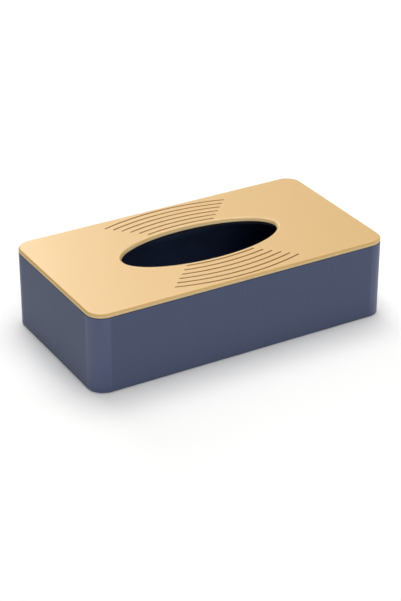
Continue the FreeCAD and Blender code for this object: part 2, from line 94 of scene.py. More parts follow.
# A pair says where a mask starts and where it is full. Most of a noise lies in NOISE_SPAN,
# and a tilt is 0 on a level face and 1 on an upright one.
NOISE_SPAN = (0.3, 0.7)
CREASE_SPAN = (0.0, 0.22)
FIBRE_SPAN = (0.35, 0.65)
FLECK_SPAN = (0.4, 0.8)
RUBBED_SPAN = (1.0, 0.8)
CLOSED_IN_SPAN = (0.95, 0.55)

# Satin gold: the oval over its sloping lip, and an oval that holds both fans of arcs.
LIP_LENGTH = 136.2 * MM
LIP_WIDTH = 58.9 * MM
FANS_LENGTH = 220.0 * MM
FANS_WIDTH = 129.2 * MM
LIP_ZONE = (1.9 * MM, 1.6 * MM)
FANS_ZONE = (0.0, -0.4 * MM)
SLOPE_TILT = (0.06, 0.13)
WALL_TILT = (0.5, 0.8)
# The painted highlight round the oval's brim: where it lies, and how strong it is.
BRIM_HIGHLIGHT_INSET = 0.2 * MM
BRIM_HIGHLIGHT_ZONE = (0.9 * MM, 0.3 * MM)
BRIM_HIGHLIGHT_SHARE = 0.4
GROOVE_EDGE_TILT = (0.01, 0.05)
GROOVE_EDGE_ROUNDING = 0.9 * MM
GOLD_ROUNDING = 0.5 * MM
GOLD_METALLIC = 0.2
GOLD_WEAR_AND_HIGHLIGHT_REACH = 0.25 * MM
GOLD_WEAR_AND_HIGHLIGHT_SHARE = 0.4
GROOVE_REACH = 1.6 * MM
COAT_ON_FACE = 0.8
COAT_ON_SLOPE = 0.15
COAT_ROUGHNESS = 0.35
COAT_IOR = 2.2
BLAST_SCALE = 9000.0

# Woven leatherette. Its two tones of thread are lit and shaded copies, a painted sheen. Each
# pair is for the long sides and for the ends: how far the two tones of thread stand apart,
# and the upright threads' share in the tone between them; the ends' larger values paint them
# lighter.
THREAD_PITCH = 1.1 * MM
LIT_THREAD_CONTRAST = (0.33, 1.0)
LIT_THREAD_SHARE = (0.36, 0.5)

# Leatherette skins: their turned edges, and the corners that they go round.
TURNED_EDGE = 0.3 * MM
TURNED_STEPS = 4
CORNER_RADIUS = 13.0 * MM
CORNER_STEPS = 24

# The finger notch is cut past both faces of a sheet, and in past the folds of the liner.
NOTCH_SIDES = 96
FACING_OVERCUT = 1.0 * MM
LINER_OVERCUT = 2.0 * MM
LINER_CUT_DEPTH = 8.0 * MM

# Suede liner.
LINER_FOLD = 1.6 * MM
LINER_FOLD_STEPS = 5
LINER_THICKNESS = 0.6 * MM

# Felt pad, glides and dots.
PAD_CORNER = 10.5 * MM
PAD_CORNER_STEPS = 16
PAD_RIM = 0.15 * MM
PAD_RIM_STEPS = 3
GLIDE_RIM = 0.25 * MM
DOT_RIM = 0.3 * MM
DOT_SIDES = 64
FELT_RIM_STEPS = 4

# Edges that turn by less than SMOOTH_ANGLE degrees are shaded smooth. Places count as
# level with each other within TOUCHING, and become one within MERGE_REACH.
SMOOTH_ANGLE = 30.0
TOUCHING = 0.01 * MM
MERGE_REACH = 0.001 * MM

# --- wiring of nodes ------------------------------------------------------------------

# A Mix node's sockets share names, so its factor, its two inputs and its result are
# told apart by place.
NUMBER_SOCKETS = (0, 2, 3)
COLOUR_SOCKETS = (0, 6, 7)
NUMBER_RESULT = 0
COLOUR_RESULT = 2


class Wiring:
    """Adds nodes to one material's or group's tree and joins their sockets."""

    def __init__(self, tree):
        self.tree = tree

    def add(self, kind, **settings):
        """A new node of a kind, with its settings."""
        node = self.tree.nodes.new(kind)
        for name, value in settings.items():
            setattr(node, name, value)
        return node

    def feed(self, socket, value):
        """Joins an output to the socket, or sets the socket's own value."""
        if isinstance(value, bpy.types.NodeSocket):
            self.tree.links.new(value, socket)
        else:
            socket.default_value = value

    def math(self, operation, *values):
        """The result of one sum on up to three values."""
        node = self.add("ShaderNodeMath", operation=operation)
        for socket, value in zip(node.inputs, values):
            self.feed(socket, value)
        return node.outputs[0]

    def mix(self, factor, first, second):
        """A number that goes from first to second as factor goes from 0 to 1."""
        node = self.add("ShaderNodeMix", data_type="FLOAT")
        for place, value in zip(NUMBER_SOCKETS, (factor, first, second)):
            self.feed(node.inputs[place], value)
        return node.outputs[NUMBER_RESULT]

    def blend(self, factor, first, second):
        """A colour that goes from first to second as factor goes from 0 to 1."""
        node = self.add("ShaderNodeMix", data_type="RGBA")
        for place, value in zip(COLOUR_SOCKETS, (factor, first, second)):
            self.feed(node.inputs[place], value)
        return node.outputs[COLOUR_RESULT]

    def scaled(self, value, amount, base):
        """A number that rises from base by the amount as value goes from 0 to 1."""
        return self.math("MULTIPLY_ADD", value, amount, base)

    def spread(self, value, low, high):
        """A mask that goes from 0 to 1 as value goes from low to high."""
        node = self.add("ShaderNodeMapRange")
        self.feed(node.inputs["Value"], value)
        self.feed(node.inputs["From Min"], low)
        self.feed(node.inputs["From Max"], high)
        return node.outputs[0]

    def components(self, vector):
        """The X, Y and Z outputs of a vector, by name."""
        node = self.add("ShaderNodeSeparateXYZ")
        self.feed(node.inputs[0], vector)
        return node.outputs

    def noise(self, vector, scale, detail=3.0, roughness=0.55):
        """Cloudy noise about 0.5, with scale lumps to the metre."""
        node = self.add("ShaderNodeTexNoise")
        self.feed(node.inputs["Vector"], vector)
        self.feed(node.inputs["Scale"], scale)
        self.feed(node.inputs["Detail"], detail)
        self.feed(node.inputs["Roughness"], roughness)
        return node.outputs["Fac"]

    def stretched(self, vector, x, y, z):
        """The vector times a scale for each axis: a pattern on it is long where that is low."""
        node = self.add("ShaderNodeMapping")
        self.feed(node.inputs["Vector"], vector)
        self.feed(node.inputs["Scale"], (x, y, z))
        return node.outputs[0]

    def group(self, tree, **values):
        """Adds a shared effect; each value goes to the input of its name."""
        node = self.add("ShaderNodeGroup", node_tree=tree)
        for name, value in values.items():
            self.feed(node.inputs[name.replace("_", " ")], value)
        return node.outputs


def new_group(name, inputs, outputs):
    """A shader group with float sockets, apart from those named Vector."""
    tree = bpy.data.node_groups.new(name, "ShaderNodeTree")
    for side, sockets in (("INPUT", inputs), ("OUTPUT", outputs)):
        for socket in sockets:
            kind = "NodeSocketVector" if socket == "Vector" else "NodeSocketFloat"
            tree.interface.new_socket(name=socket, in_out=side, socket_type=kind)
    wiring = Wiring(tree)
    given = wiring.add("NodeGroupInput").outputs
    result = wiring.add("NodeGroupOutput").inputs
    return wiring, given, result


# --- effects that several finishes share ----------------------------------------------


def weave_group():
    """A plain weave on upright walls: threads along the wall and up it, over and under."""
    w, given, result = new_group("plain weave", ("Vector", "Pitch"), ("Height", "Gap", "Upright"))
    place = w.components(given["Vector"])
    # A wall runs along X or along Y, so the sum counts along either.
    along = w.math("DIVIDE", w.math("ADD", place["X"], place["Y"]), given["Pitch"])
    up = w.math("DIVIDE", place["Z"], given["Pitch"])
    cell = w.math("ADD", w.math("FLOOR", along), w.math("FLOOR", up))
    upright_on_top = w.math("FLOORED_MODULO", cell, 2.0)
    crowns = []
    for count in (along, up):
        from_middle = w.scaled(w.math("FRACT", count), amount=2.0, base=-1.0)
        crowns.append(w.math("SUBTRACT", 1.0, w.math("MULTIPLY", from_middle, from_middle)))
    upright, level = crowns
    # A thread dips to half its height where it goes under its neighbours.
    level_crown = w.math("MULTIPLY", level, w.scaled(upright, amount=0.5, base=0.5))
    upright_crown = w.math("MULTIPLY", upright, w.scaled(level, amount=0.5, base=0.5))
    height = w.mix(upright_on_top, level_crown, upright_crown)
    w.feed(result["Height"], height)
    w.feed(result["Gap"], w.math("SUBTRACT", 1.0, w.math("POWER", height, 0.5)))
    w.feed(result["Upright"], upright_on_top)
    return w.tree


def grain_group():
    """Pebbled leather grain: small domes with creases between them."""
    w, given, result = new_group("leather grain", ("Vector", "Scale"), ("Height", "Crease"))
    pebbles = w.add("ShaderNodeTexVoronoi", feature="DISTANCE_TO_EDGE")
    w.feed(pebbles.inputs["Vector"], given["Vector"])
    w.feed(pebbles.inputs["Scale"], given["Scale"])
    dome = w.spread(pebbles.outputs["Distance"], *CREASE_SPAN)
    pores = w.noise(given["Vector"], w.math("MULTIPLY", given["Scale"], 3.0))
    w.feed(result["Height"], w.scaled(pores, amount=0.35, base=dome))
    w.feed(result["Crease"], w.math("SUBTRACT", 1.0, dome))
    return w.tree


def fibre_group():
    """Short matted fibres, with a nap that lies one way here and another there."""
    w, given, result = new_group("matted fibres", ("Vector", "Scale"), ("Height", "Shade"))
    fibres = w.noise(given["Vector"], given["Scale"], detail=6.0, roughness=0.7)
    lay = w.noise(given["Vector"], w.math("MULTIPLY", given["Scale"], 0.03), detail=2.0)
    w.feed(result["Height"], fibres)
    shade = w.math("ADD", w.math("MULTIPLY", fibres, 0.75), w.math("MULTIPLY", lay, 0.25))
    w.feed(result["Shade"], w.spread(shade, *FIBRE_SPAN))
    return w.tree


def wear_group():
    """Where edges have been rubbed: a mask that follows them, broken up by noise. On the gold
    it also carries a painted highlight.
    """
    w, given, result = new_group("edge wear", ("Vector", "Radius", "Scale"), ("Mask",))
    rounded = w.add("ShaderNodeBevel", samples=4)
    w.feed(rounded.inputs["Radius"], given["Radius"])
    flat = w.add("ShaderNodeNewGeometry").outputs["Normal"]
    likeness = w.add("ShaderNodeVectorMath", operation="DOT_PRODUCT")
    w.feed(likeness.inputs[0], rounded.outputs[0])
    w.feed(likeness.inputs[1], flat)
    edge = w.spread(likeness.outputs["Value"], *RUBBED_SPAN)
    breaks = w.spread(w.noise(given["Vector"], given["Scale"]), *NOISE_SPAN)
    w.feed(result["Mask"], w.math("MULTIPLY", edge, breaks))
    return w.tree


def recess_shade_group():
    """Painted shade in narrow grooves: a mask where the surroundings are close."""
    w, given, result = new_group("recess_shade", ("Reach",), ("Mask",))
    closed = w.add("ShaderNodeAmbientOcclusion", samples=8, only_local=True)
    w.feed(closed.inputs["Distance"], given["Reach"])
    w.feed(result["Mask"], w.spread(closed.outputs["AO"], *CLOSED_IN_SPAN))
    return w.tree


def rounding_group():
    """Edges that look rounded: the softened normal, and how far it is from level."""
    w, given, result = new_group("rounding", ("Radius",), ("Vector", "Tilt"))
    rounded = w.add("ShaderNodeBevel", samples=8)
    w.feed(rounded.inputs["Radius"], given["Radius"])
    facing = w.components(rounded.outputs[0])
    w.feed(result["Vector"], rounded.outputs[0])
    w.feed(result["Tilt"], w.math("SUBTRACT", 1.0, w.math("ABSOLUTE", facing["Z"])))
    return w.tree


def oval_group():
    """How far a place lies outside an oval about the middle; less than nought inside it."""
    w, given, result = new_group("oval", ("Vector", "Half length", "Half width"), ("Distance",))
    place = w.components(given["Vector"])
    shares, slopes = [], []
    for axis, half in (("X", given["Half length"]), ("Y", given["Half width"])):
        lit_share = w.math("DIVIDE", place[axis], half)
        shares.append(w.math("MULTIPLY", lit_share, lit_share))
        slope = w.math("DIVIDE", lit_share, half)
        slopes.append(w.math("MULTIPLY", slope, slope))
    reach = w.math("SQRT", w.math("ADD", *shares))
    steepness = w.math("SQRT", w.math("ADD", *slopes))
    excess = w.math("MULTIPLY", reach, w.math("SUBTRACT", reach, 1.0))
    w.feed(result["Distance"], w.math("DIVIDE", excess, steepness))
    return w.tree


def mottle_group():
    """Faint wide variation and fine speckle, as handling and dust leave."""
    w, given, result = new_group("mottle", ("Vector", "Scale"), ("Wide", "Fine"))
    wide = w.noise(given["Vector"], given["Scale"], detail=2.0)
    finer_scale = w.math("MULTIPLY", given["Scale"], 60.0)
    fine = w.noise(given["Vector"], finer_scale, detail=4.0, roughness=0.7)
    w.feed(result["Wide"], w.spread(wide, *NOISE_SPAN))
    w.feed(result["Fine"], w.spread(fine, *NOISE_SPAN))
    return w.tree


WEAVE = weave_group()
GRAIN = grain_group()
FIBRES = fibre_group()
WEAR = wear_group()
RECESS_SHADE = recess_shade_group()
ROUNDING = rounding_group()
OVAL = oval_group()
MOTTLE = mottle_group()


# --- finishes -------------------------------------------------------------------------


def new_finish(name):
    """A material with its shader, its wiring and the object's own coordinates."""
    material = bpy.data.materials.new(name)
    material.use_nodes = True
    shader = material.node_tree.nodes["Principled BSDF"]
    w = Wiring(material.node_tree)
    place = w.add("ShaderNodeTexCoord").outputs["Object"]
    return material, w, shader.inputs, place


def raise_surface(w, shader, height, depth, strength=1.0, normal=None):
    """Gives the surface a relief as deep as depth where height goes from 0 to 1."""
    bump = w.add("ShaderNodeBump")
    if normal:
        w.feed(bump.inputs["Normal"], normal)
    w.feed(bump.inputs["Strength"], strength)
    w.feed(bump.inputs["Distance"], depth)
    w.feed(bump.inputs["Height"], height)
    w.feed(shader["Normal"], bump.outputs[0])


def satin_gold():
    """Blasted and gilded plate: satin faces, with painted light and shade in its tones: darker
    shoulders and lip, lighter walls, a highlight at the brim and on worn edges, and shade in
    and beside its grooves.
    """
    material, w, shader, place = new_finish("satin gold")
    mottle = w.group(MOTTLE, Vector=place, Scale=14.0)
    wear = w.group(WEAR, Vector=place, Radius=GOLD_WEAR_AND_HIGHLIGHT_REACH, Scale=90.0)["Mask"]
    rounding = w.group(ROUNDING, Radius=GOLD_ROUNDING)
    recess_shade = w.group(RECESS_SHADE, Reach=GROOVE_REACH)["Mask"]
    # The outer edge and the oval are toned apart, and the tones paint light and shade: the
    #     sloping shoulders and the oval's lip darker, the upright edges (a cut finish) and the
    #     oval's wall lighter, as if reflecting the floor.
    lip = w.group(OVAL, Vector=place, Half_length=LIP_LENGTH / 2, Half_width=LIP_WIDTH / 2)
    oval = w.spread(lip["Distance"], *LIP_ZONE)
    sloping = w.spread(rounding["Tilt"], *SLOPE_TILT)
    upright = w.spread(rounding["Tilt"], *WALL_TILT)
    tone = w.blend(sloping, GOLD_FACE, w.blend(oval, GOLD_SHOULDER_SHADE, GOLD_LIP_SHADE))
    tone = w.blend(upright, tone, w.blend(oval, GOLD_CUT_AND_REFLECTION, GOLD_MOUTH_LIGHT))
    # A painted highlight round the brim of the oval, where it begins to slope.
    from_brim = w.math("ABSOLUTE", w.math("ADD", lip["Distance"], BRIM_HIGHLIGHT_INSET))
    brim_highlight = w.spread(from_brim, *BRIM_HIGHLIGHT_ZONE)
    tone = w.blend(w.math("MULTIPLY", brim_highlight, BRIM_HIGHLIGHT_SHARE), tone, GOLD_BRIM_HIGHLIGHT)
    # Painted shade over the rounded edges of the arcs, which widens their dark lines.
    fans = w.group(OVAL, Vector=place, Half_length=FANS_LENGTH / 2, Half_width=FANS_WIDTH / 2)
    between = w.math("SUBTRACT", w.spread(fans["Distance"], *FANS_ZONE), oval)
    groove_edge = w.spread(w.group(ROUNDING, Radius=GROOVE_EDGE_ROUNDING)["Tilt"], *GROOVE_EDGE_TILT)
    tone = w.blend(w.math("MULTIPLY", between, groove_edge), tone, GOLD_GROOVE_EDGE_SHADE)
    # Wear on the edges, brightened enough to be a painted highlight along them too.
    tone = w.blend(w.math("MULTIPLY", wear, GOLD_WEAR_AND_HIGHLIGHT_SHARE), tone, GOLD_WEAR_AND_HIGHLIGHT)
    # Painted shade in the grooves and other close places.
    tone = w.blend(recess_shade, tone, GOLD_RECESS_SHADE)
    w.feed(shader["Base Color"], tone)
    w.feed(shader["Metallic"], w.mix(w.math("MULTIPLY", oval, upright), GOLD_METALLIC, 0.0))
    w.feed(shader["Coat Weight"], w.mix(sloping, COAT_ON_FACE, COAT_ON_SLOPE))
    w.feed(shader["Coat Roughness"], COAT_ROUGHNESS)
    w.feed(shader["Coat IOR"], COAT_IOR)
    smooth = w.scaled(mottle["Wide"], amount=0.04, base=0.5)
    w.feed(shader["Roughness"], w.scaled(mottle["Fine"], amount=0.05, base=smooth))
    blasted = w.noise(place, BLAST_SCALE, detail=2.0)
    normal = rounding["Vector"]
    raise_surface(w, shader, blasted, depth=0.01 * MM, strength=0.35, normal=normal)
    return material


def woven_leatherette():
    """Cloth-grained leatherette: thread tones as a painted sheen, painted shade in the gaps, the
    ends painted lighter, and a soft sheen.
    """
    material, w, shader, place = new_finish("woven leatherette")
    weave = w.group(WEAVE, Vector=place, Pitch=THREAD_PITCH)
    mottle = w.group(MOTTLE, Vector=place, Scale=20.0)
    # Painted light: the cloth on the ends shows more of the lit upright tone, and more contrast,
    #     than that on the long sides.
    facing = w.components(w.add("ShaderNodeNewGeometry").outputs["Normal"])
    towards_end = w.math("ABSOLUTE", facing["X"])
    lit_contrast = w.mix(towards_end, *LIT_THREAD_CONTRAST)
    lit_share = w.mix(towards_end, *LIT_THREAD_SHARE)
    thread = w.blend(w.mix(lit_contrast, lit_share, weave["Upright"]), NAVY_LEVEL_SHADED, NAVY_UPRIGHT_LIT)
    # Painted shade: the gaps between threads are darker.
    w.feed(shader["Base Color"], w.blend(weave["Gap"], thread, NAVY_GAP_SHADE))
    w.feed(shader["Roughness"], w.scaled(mottle["Fine"], amount=0.12, base=0.62))
    w.feed(shader["Specular IOR Level"], 0.15)
    w.feed(shader["Sheen Weight"], 0.22)
    w.feed(shader["Sheen Roughness"], 0.35)
    raise_surface(w, shader, weave["Height"], depth=0.12 * MM, strength=0.5)
    return material


def smooth_leatherette():
    """Smooth leatherette with a fine pebbled grain, and painted shade in its creases."""
    material, w, shader, place = new_finish("smooth leatherette")
    grain = w.group(GRAIN, Vector=place, Scale=1500.0)
    mottle = w.group(MOTTLE, Vector=place, Scale=25.0)
    # Painted shade: the grain's creases are darker.
    tone = w.blend(w.math("MULTIPLY", grain["Crease"], 0.4), NAVY_SMOOTH, NAVY_CREASE_SHADE)
    w.feed(shader["Base Color"], tone)
    w.feed(shader["Roughness"], w.scaled(mottle["Fine"], amount=0.08, base=0.4))
    w.feed(shader["Specular IOR Level"], 0.6)
    raise_surface(w, shader, grain["Height"], depth=0.03 * MM, strength=0.4)
    return material


def napped(name, nap, shade, scale, depth, sheen):
    """Suede or felt: a tone that shifts with the lay of its fibres, and a soft sheen."""
    material, w, shader, place = new_finish(name)
    fibres = w.group(FIBRES, Vector=place, Scale=scale)
    w.feed(shader["Base Color"], w.blend(fibres["Shade"], shade, nap))
    w.feed(shader["Roughness"], w.scaled(fibres["Shade"], amount=-0.1, base=0.95))
    w.feed(shader["Sheen Weight"], sheen)
    w.feed(shader["Sheen Roughness"], 0.5)
    raise_surface(w, shader, fibres["Height"], depth)
    return material


def painted_board():
    """Board with thin black paint: fibres show through, and edges are scuffed."""
    material, w, shader, place = new_finish("painted board")
    mottle = w.group(MOTTLE, Vector=place, Scale=30.0)
    wear = w.group(WEAR, Vector=place, Radius=0.4 * MM, Scale=160.0)["Mask"]
    scuffs = w.math("MAXIMUM", w.math("MULTIPLY", mottle["Fine"], 0.25), wear)
    w.feed(shader["Base Color"], w.blend(scuffs, BLACK_PAINT, BLACK_SCUFF))
    w.feed(shader["Roughness"], w.scaled(mottle["Fine"], amount=0.2, base=0.55))
    raise_surface(w, shader, mottle["Fine"], depth=0.04 * MM)
    return material


def bare_board():
    """Pressed fibre board: flecks that lie flat along the board."""
    material, w, shader, place = new_finish("bare board")
    mottle = w.group(MOTTLE, Vector=place, Scale=12.0)
    flecks = w.noise(w.stretched(place, 1.0, 1.0, 4.0), 900.0, detail=5.0, roughness=0.7)
    tone = w.spread(w.scaled(mottle["Wide"], amount=0.2, base=flecks), *FLECK_SPAN)
    w.feed(shader["Base Color"], w.blend(tone, BOARD_DARK, BOARD_LIGHT))
    w.feed(shader["Roughness"], w.scaled(flecks, amount=0.2, base=0.7))
    raise_surface(w, shader, flecks, depth=0.05 * MM)
    return material


def adhesive():
    """Dull dark adhesive sheet, of which only the edge shows."""
    material, w, shader, place = new_finish("adhesive sheet")
    mottle = w.group(MOTTLE, Vector=place, Scale=40.0)
    w.feed(shader["Base Color"], w.blend(mottle["Fine"], ADHESIVE_DARK, ADHESIVE_LIGHT))
    w.feed(shader["Roughness"], w.scaled(mottle["Fine"], amount=0.2, base=0.6))
    raise_surface(w, shader, mottle["Fine"], depth=0.02 * MM)
    return material


def bright_metal(name, bright, dull, roughness, lay):
    """Plated or turned metal, with fine marks drawn out along the axis of low lay."""
    material, w, shader, place = new_finish(name)
    marks = w.noise(w.stretched(place, *lay), 2500.0)
    wear = w.group(WEAR, Vector=place, Radius=0.2 * MM, Scale=300.0)["Mask"]
    w.feed(shader["Base Color"], w.blend(w.math("MAXIMUM", marks, wear), dull, bright))
    w.feed(shader["Metallic"], 1.0)
    w.feed(shader["Roughness"], w.scaled(marks, amount=0.15, base=roughness))
    raise_surface(w, shader, marks, depth=0.005 * MM, strength=0.4)
    return material


FINISHES = {
    "gold_plate": satin_gold(),
    "woven_leatherette": woven_leatherette(),
    "smooth_leatherette": smooth_leatherette(),
    "suede_liner": napped(
        "suede", SUEDE_NAP, SUEDE_SHADE, scale=2200.0, depth=0.08 * MM, sheen=0.15
    ),
    "felt": napped(
        "felt", FELT_FIBRE, FELT_SHADE, scale=1500.0, depth=0.15 * MM, sheen=0.2
    ),
    "case_board": bare_board(),
    "black_board": painted_board(),
    "adhesive": adhesive(),
    "magnet": bright_metal(
        "nickel", NICKEL, NICKEL_DULL, roughness=0.15, lay=(0.2, 1.0, 1.0)
    ),
    "screw_steel": bright_metal(
        "steel", STEEL, STEEL_DULL, roughness=0.25, lay=(1.0, 1.0, 0.2)
    ),
}


# --- modelling by hand ----------------------------------------------------------------

FRONT, BACK = Vector((0, -1, 0)), Vector((0, 1, 0))
LEFT, RIGHT = Vector((-1, 0, 0)), Vector((1, 0, 0))
DOWN, UP = Vector((0, 0, -1)), Vector((0, 0, 1))


def only(*chosen):
    """Selects these objects and no others; the last one is active."""
    bpy.ops.object.select_all(action="DESELECT")
    for thing in chosen:
        thing.select_set(True)
    bpy.context.view_layer.objects.active = chosen[-1]


def settle(name):
    """Names the active object and puts its place, turn and scale into its mesh."""
    piece = bpy.context.active_object
    piece.name = name
    piece.data.name = name
    bpy.ops.object.transform_apply(location=True, rotation=True, scale=True)
    return piece


def add_block(name, low, high):
    """A box between two corners."""
    bpy.ops.object.select_all(action="DESELECT")
    bpy.ops.mesh.primitive_cube_add(size=1.0, location=(low + high) / 2, scale=high - low)
    return settle(name)


def add_level_rod(name, radius, sides, low_x, high_x, y, z):
    """A round rod that lies along X."""
    bpy.ops.object.select_all(action="DESELECT")
    bpy.ops.mesh.primitive_cylinder_add(
        vertices=sides,
        radius=radius,
        depth=high_x - low_x,
        location=((low_x + high_x) / 2, y, z),
        rotation=(0, math.pi / 2, 0),
    )
    return settle(name)


def choose(piece, kind, wanted):
    """Selects the vertices, edges or faces that pass a test, in edit mode."""
    bpy.ops.mesh.select_mode(type={"verts": "VERT", "edges": "EDGE", "faces": "FACE"}[kind])
    bpy.ops.mesh.select_all(action="DESELECT")
    mesh = bmesh.from_edit_mesh(piece.data)
    mesh.normal_update()
    for part in getattr(mesh, kind):
        if wanted(part):
            part.select_set(True)
    bmesh.update_edit_mesh(piece.data)


def edit(piece):
    """Opens one piece in edit mode."""
    only(piece)
    bpy.ops.object.mode_set(mode="EDIT")


def leave():
    """Goes back to object mode."""
    bpy.ops.object.mode_set(mode="OBJECT")


def round_off(piece, kind, wanted, radius, steps):
    """Rounds the vertices or edges that pass a test, in edit mode."""
    choose(piece, kind, wanted)
    affect = {"verts": "VERTICES", "edges": "EDGES"}[kind]
    bpy.ops.mesh.bevel(offset=radius, segments=steps, affect=affect)


def looks(face, way):
    """True for a face that looks a given way, to within about 25 degrees."""
    return face.normal.dot(way) > 0.9


def is_rim(edge, outward):
    """True for an edge where the face that looks outward turns away sharply."""
    sides = [looks(face, outward) for face in edge.link_faces]
    return len(sides) == 2 and sides[0] != sides[1]


def lies_across(face, point, line):
    """True for a flat face square to a line and level with a point along it."""
    away = line.dot(face.verts[0].co - point)
    return abs(line.dot(face.normal)) > 0.999 and abs(away) < TOUCHING


def is_level(edge):
    """True for an edge that rises by less than 30 degrees."""
    low, high = (vertex.co for vertex in edge.verts)
    return abs((high - low).normalized().z) < 0.5


def finish_piece(piece, node, body, slot):
    """Shades a new piece, gives it its finish and lets it stand for its CAD node."""
    only(piece)
    bpy.ops.object.shade_smooth_by_angle(angle=math.radians(SMOOTH_ANGLE))
    piece.data.materials.clear()
    piece.data.materials.append(FINISHES[slot])
    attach(piece, body)
    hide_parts(node)


def turned_panel(name, node, outward):
    """A flat skin whose upper and lower edges are turned in, between two fine seams."""
    panel = add_block(name, *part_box(node))
    edit(panel)
    round_off(
        panel,
        "edges",
        lambda edge: is_rim(edge, outward) and is_level(edge),
        TURNED_EDGE,
        TURNED_STEPS,
    )
    leave()
    return panel


def leather_panels():
    """The flat skins of the case: three walls, and the lips above and below the drawer."""
    skins = (
        ("front_panel_skin", "front_woven_panel", FRONT),
        ("back_panel_skin", "back_woven_panel", BACK),
        ("end_panel_skin", "end_woven_panel", LEFT),
        ("lower_lip_skin", "mouth_lip_lower", RIGHT),
        ("upper_lip_skin", "mouth_lip_upper", RIGHT),
    )
    for name, node, outward in skins:
        finish_piece(turned_panel(name, node, outward), node, "case", "woven_leatherette")


def turned_corner(name, node, side_x, side_y):
    """The skin round one corner: its section, rounded at the turned edges, spun, and
    drawn out at both ends into the flat runs beside the curve."""
    low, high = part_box(node)
    panel_low, panel_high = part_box("front_woven_panel")
    thickness = panel_high.y - panel_low.y
    outer_x = high.x if side_x > 0 else low.x
    outer_y = high.y if side_y > 0 else low.y
    hub = Vector((outer_x - side_x * CORNER_RADIUS, outer_y - side_y * CORNER_RADIUS, 0))
    middle = Vector((outer_x - side_x * thickness / 2, hub.y, (low.z + high.z) / 2))
    bpy.ops.object.select_all(action="DESELECT")
    bpy.ops.mesh.primitive_plane_add(size=1.0, location=middle, rotation=(math.pi / 2, 0, 0))
    bpy.context.active_object.scale = (thickness, high.z - low.z, 1.0)
    skin = settle(name)
    edit(skin)
    round_off(
        skin,
        "verts",
        lambda vertex: abs(vertex.co.x - outer_x) < thickness / 2,
        TURNED_EDGE,
        TURNED_STEPS,
    )
    bpy.ops.mesh.select_all(action="SELECT")
    # The spin operator turns clockwise for a positive angle.
    turn = -side_x * side_y * math.pi / 2
    bpy.ops.mesh.spin(steps=CORNER_STEPS, angle=turn, center=hub, axis=UP)
    bpy.ops.mesh.select_all(action="SELECT")
    bpy.ops.mesh.remove_doubles(threshold=MERGE_REACH)
    flat_run = high.x - low.x - CORNER_RADIUS
    for step in (Vector((0, -side_y, 0)), Vector((-side_x, 0, 0))):
        choose(skin, "faces", lambda face: lies_across(face, hub, step))
        bpy.ops.mesh.extrude_region_move(TRANSFORM_OT_translate={"value": step * flat_run})
    bpy.ops.mesh.select_all(action="SELECT")
    bpy.ops.mesh.normals_make_consistent(inside=False)
    leave()
    return skin


def leather_corners():
    """The four corner skins of the case."""
    for depth, side_y in (("front", -1), ("back", 1)):
        for hand, side_x in (("left", -1), ("right", 1)):
            node = f"corner_wrap_{depth}_{hand}"
            skin = turned_corner(f"corner_skin_{depth}_{hand}", node, side_x, side_y)
            finish_piece(skin, node, "case", "smooth_leatherette")


def notch_radius():
    """The finger notch's radius: how deep it goes into the top of the drawer front."""
    low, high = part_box("drawer_front")
    places = [vertex.co for vertex in frame["nodes"]["drawer_front"].data.vertices]
    middle = [place.z for place in places if abs(place.y) < (high.y - low.y) / 4]
    return high.z - min(z for z in middle if z > (low.z + high.z) / 2)


def cut_notch(piece, inner_x, outer_x):
    """Cuts the half-round finger notch of the drawer front, from inner_x to outer_x."""
    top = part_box("drawer_front")[1].z
    tool = add_level_rod("notch_tool", notch_radius(), NOTCH_SIDES, inner_x, outer_x, 0, top)
    notch = piece.modifiers.new("notch", "BOOLEAN")
    notch.operation = "DIFFERENCE"
    notch.object = tool
    only(piece)
    bpy.ops.object.modifier_apply(modifier=notch.name)
    bpy.data.objects.remove(tool)


def drawer_facing():
    """The skin of the drawer front, turned in all round and at its notch."""
    node = "drawer_woven_facing"
    low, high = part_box(node)
    facing = add_block("drawer_facing_skin", low, high)
    cut_notch(facing, low.x - FACING_OVERCUT, high.x + FACING_OVERCUT)
    edit(facing)
    round_off(facing, "edges", lambda edge: is_rim(edge, RIGHT), TURNED_EDGE, TURNED_STEPS)
    leave()
    finish_piece(facing, node, "drawer", "woven_leatherette")


def suede_tray():
    """The folded liner: an open box of thin suede, soft at its folds."""
    node = "tray_liner"
    low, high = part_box(node)
    liner = add_block("suede_tray_liner", low, high)
    edit(liner)
    choose(liner, "faces", lambda face: looks(face, UP))
    bpy.ops.mesh.delete(type="FACE")
    # Once the lid is gone, an edge between two faces is a fold.
    round_off(
        liner, "edges", lambda edge: len(edge.link_faces) == 2, LINER_FOLD, LINER_FOLD_STEPS
    )
    leave()
    shell = liner.modifiers.new("thickness", "SOLIDIFY")
    shell.thickness = LINER_THICKNESS
    shell.offset = -1.0
    bpy.ops.object.modifier_apply(modifier=shell.name)
    cut_notch(liner, high.x - LINER_CUT_DEPTH, high.x + LINER_OVERCUT)
    finish_piece(liner, node, "drawer", "suede_liner")


def felt_pad():
    """The pad under the base, with its round corners and soft rims."""
    pad = add_block("felt_base_pad", *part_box("base_pad"))
    edit(pad)
    round_off(pad, "edges", lambda edge: not is_level(edge), PAD_CORNER, PAD_CORNER_STEPS)
    round_off(
        pad,
        "edges",
        lambda edge: is_rim(edge, UP) or is_rim(edge, DOWN),
        PAD_RIM,
        PAD_RIM_STEPS,
    )
    leave()
    finish_piece(pad, "base_pad", "case", "felt")


def felt_glides():
    """The two strips that the tray slides on, soft at their upper rims."""
    for side in ("front", "back"):
        node = f"{side}_glide_strip"
        strip = add_block(f"{side}_felt_glide", *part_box(node))
        edit(strip)
        round_off(strip, "edges", lambda edge: is_rim(edge, UP), GLIDE_RIM, FELT_RIM_STEPS)
        leave()
        finish_piece(strip, node, "case", "felt")


